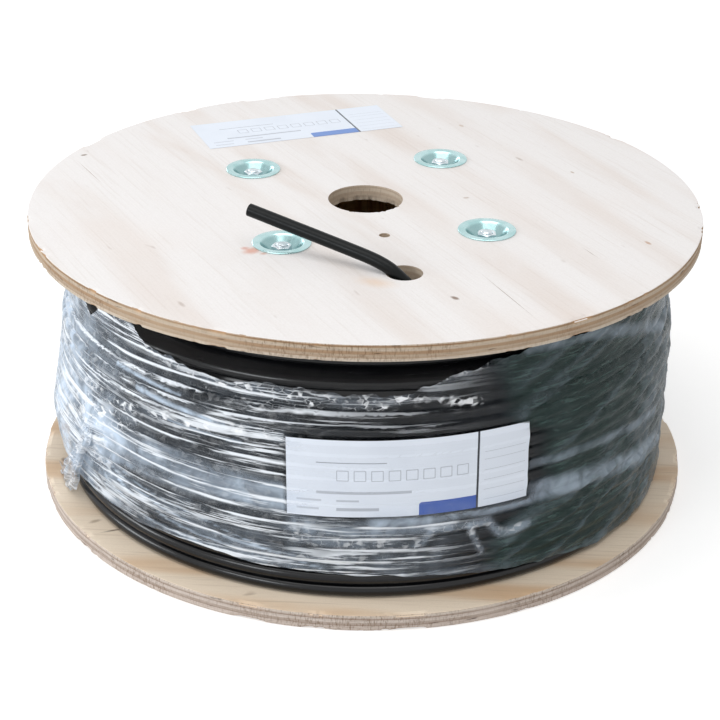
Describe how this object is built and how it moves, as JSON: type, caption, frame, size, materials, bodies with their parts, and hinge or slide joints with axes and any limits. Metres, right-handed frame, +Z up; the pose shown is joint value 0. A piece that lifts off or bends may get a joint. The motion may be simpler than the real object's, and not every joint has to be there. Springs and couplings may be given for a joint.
{
  "type": "wooden cable drum",
  "caption": "Plywood cable drum standing on one flange, full of black cable under clear stretch film, with cup-washered tie rods and the cable's start out through the top flange.",
  "frame": {"origin": "on the drum's axis, at the floor under the bottom flange", "axes": "+Z up the drum's axis; -Y towards the hole in the top flange that the cable's start comes out of; +X to the right of it"},
  "size_m": [0.4999, 0.5, 0.2475],
  "materials": {
    "plywood": "bare pale softwood plywood, sawn rim",
    "stave_wood": "bare sawn softwood",
    "zinc_plate": "bright zinc plate with a pale blue-green cast",
    "cable_sheath": "smooth black polyethylene, half gloss",
    "stretch_film": "clear wrinkled stretch film",
    "label_paper": "white label paper"
  },
  "bodies": {
    "root": {"bottom_flange": "plywood", "top_flange": "plywood", "stave_01": "stave_wood", "stave_02": "stave_wood", "stave_03": "stave_wood", "stave_04": "stave_wood", "stave_05": "stave_wood", "stave_06": "stave_wood", "stave_07": "stave_wood", "stave_08": "stave_wood", "stave_09": "stave_wood", "stave_10": "stave_wood", "stave_11": "stave_wood", "stave_12": "stave_wood", "stave_13": "stave_wood", "stave_14": "stave_wood", "stave_15": "stave_wood", "stave_16": "stave_wood", "stave_17": "stave_wood", "stave_18": "stave_wood", "tie_rod_1": "zinc_plate", "tie_rod_2": "zinc_plate", "tie_rod_3": "zinc_plate", "tie_rod_4": "zinc_plate", "cup_washers": "zinc_plate", "hex_nuts": "zinc_plate", "cable_winding": "cable_sheath", "cable_start_end": "cable_sheath", "film_wrap": "stretch_film", "winding_label": "label_paper", "flange_label": "label_paper"}
  },
  "joints": []
}
